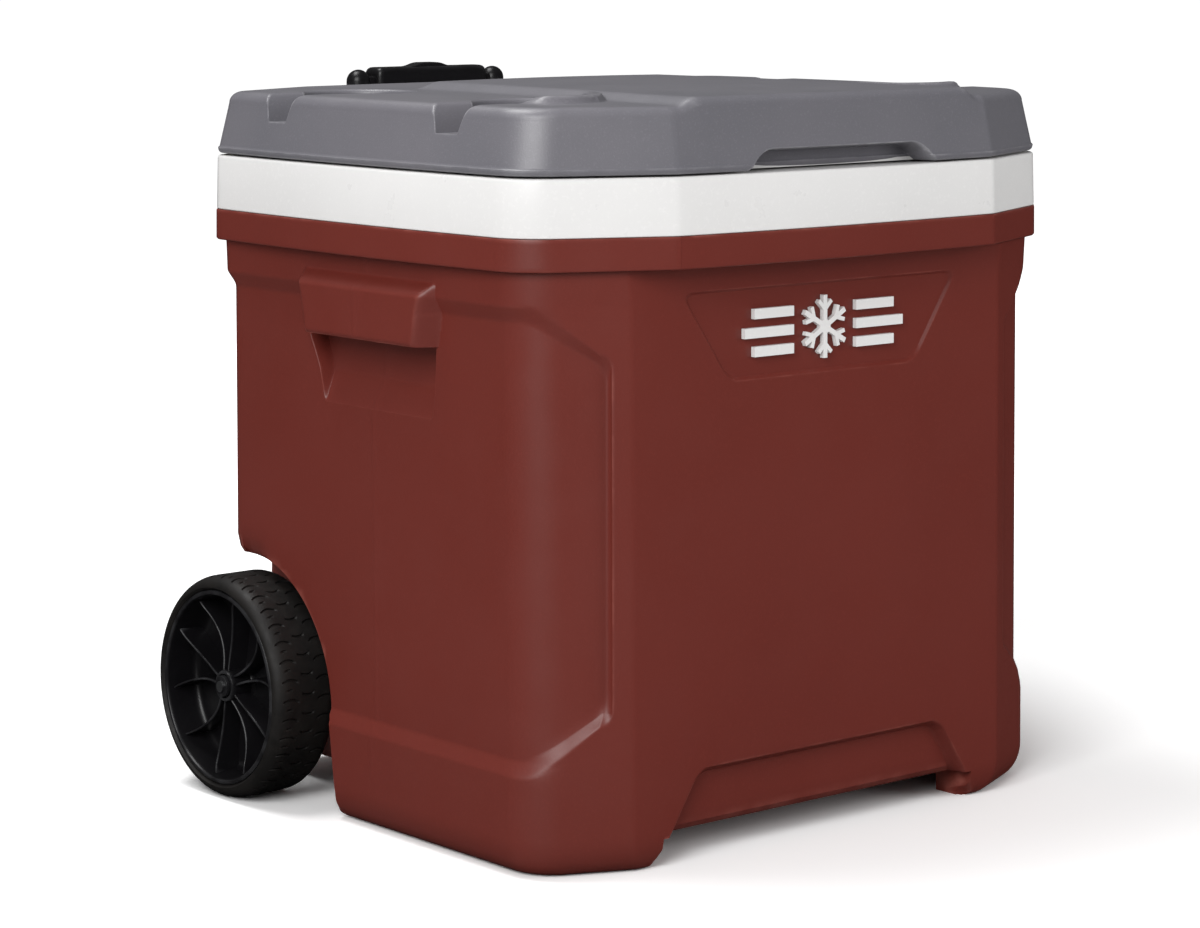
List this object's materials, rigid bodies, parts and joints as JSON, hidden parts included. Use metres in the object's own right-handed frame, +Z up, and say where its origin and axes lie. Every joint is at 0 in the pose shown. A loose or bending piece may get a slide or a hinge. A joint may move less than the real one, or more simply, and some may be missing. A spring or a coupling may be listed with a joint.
{
  "type": "wheeled cooler chest",
  "caption": "Insulated cooler chest on rear wheels, with hinged lid and cup recesses, moulded side grips, telescoping pull handle and screw-capped drain.",
  "frame": {"origin": "on the floor, below the middle of the whole footprint (tyres side to side, front edge of the rim to the back of the pull handle's bracket)", "axes": "+X to the right side as seen from the front, +Y to the back where the pull handle and hinges are, +Z up"},
  "size_m": [0.54, 0.4992, 0.526],
  "materials": {
    "red_shell": "satin moulded polyethylene, brick red",
    "white_plastic": "smooth semi-gloss moulded plastic, white",
    "grey_lid": "fine-grained matt moulded plastic, mid grey",
    "foam": "rigid polyurethane foam, cream",
    "black_plastic": "smooth black moulded plastic",
    "tyre_rubber": "black moulded tyre with cut sipes",
    "steel": "plain zinc-plated steel",
    "seal_rubber": "black rubber"
  },
  "bodies": {
    "chest": {"body_shell": "red_shell", "body_foam": "foam", "body_liner": "white_plastic", "front_emblem": "white_plastic", "axle": "steel", "axle_bushings": "black_plastic", "axle_washers": "steel", "axle_nuts": "black_plastic", "drain_fitting": "white_plastic", "drain_nut": "white_plastic", "handle_outer_tubes": "steel", "handle_outer_collars": "black_plastic", "handle_upper_bracket": "black_plastic", "handle_lower_bracket": "black_plastic", "bracket_screws": "steel", "hinge_bases": "black_plastic", "hinge_base_screws": "steel"},
    "lid": {"lid_shell": "grey_lid", "lid_foam": "foam", "lid_liner": "white_plastic", "hinge_lid_ears": "black_plastic", "hinge_lid_screws": "steel", "hinge_pins": "steel"},
    "left_wheel": {"left_wheel_rim": "black_plastic", "left_tyre": "tyre_rubber"},
    "right_wheel": {"right_wheel_rim": "black_plastic", "right_tyre": "tyre_rubber"},
    "handle_middle_stage": {"handle_middle_tubes": "steel", "handle_middle_collars": "black_plastic", "handle_middle_plugs": "black_plastic", "lower_lock_pins": "steel"},
    "handle_top_stage": {"handle_inner_tubes": "steel", "handle_inner_plugs": "black_plastic", "upper_lock_pins": "steel", "handle_grip": "black_plastic", "grip_end_caps": "black_plastic", "grip_screws": "steel", "button_spring": "steel"},
    "handle_release": {"release_button": "black_plastic", "release_bar": "steel", "release_rods": "steel"},
    "drain_seal": {"drain_gasket": "seal_rubber"},
    "drain_cap_body": {"drain_cap": "white_plastic"}
  },
  "joints": [
    {"name": "lid_hinge", "type": "hinge", "parent": "chest", "child": "lid", "pos_m": [0, 0.2191, 0.503], "axis": [-1, 0, 0], "range_deg": [0, 75]},
    {"name": "left_wheel_spin", "type": "hinge", "parent": "chest", "child": "left_wheel", "pos_m": [-0.24, 0.1316, 0.08], "axis": [-1, 0, 0], "continuous": true},
    {"name": "right_wheel_spin", "type": "hinge", "parent": "chest", "child": "right_wheel", "pos_m": [0.24, 0.1316, 0.08], "axis": [-1, 0, 0], "continuous": true},
    {"name": "handle_lower_slide", "type": "slide", "parent": "chest", "child": "handle_middle_stage", "axis": [0, 0, 1], "range_m": [0, 0.27]},
    {"name": "handle_upper_slide", "type": "slide", "parent": "handle_middle_stage", "child": "handle_top_stage", "axis": [0, 0, 1], "range_m": [0, 0.27]},
    {"name": "release_press", "type": "slide", "parent": "handle_top_stage", "child": "handle_release", "axis": [0, 0, -1], "range_m": [0, 0.0025], "stiffness_N_per_m": 600, "springref_m": -0.003, "deforming": ["button_spring"]},
    {"name": "drain_cap_travel", "type": "slide", "parent": "chest", "child": "drain_seal", "axis": [1, 0, 0], "range_m": [0, 0.008]},
    {"name": "drain_cap_turn", "type": "hinge", "parent": "drain_seal", "child": "drain_cap_body", "pos_m": [0.26, -0.0774, 0.062], "axis": [1, 0, 0], "range_deg": [0, 720]}
  ],
  "couplings": [
    {"joint": "drain_cap_travel", "follows": "drain_cap_turn", "m_per_rad": 0.00063662}
  ]
}
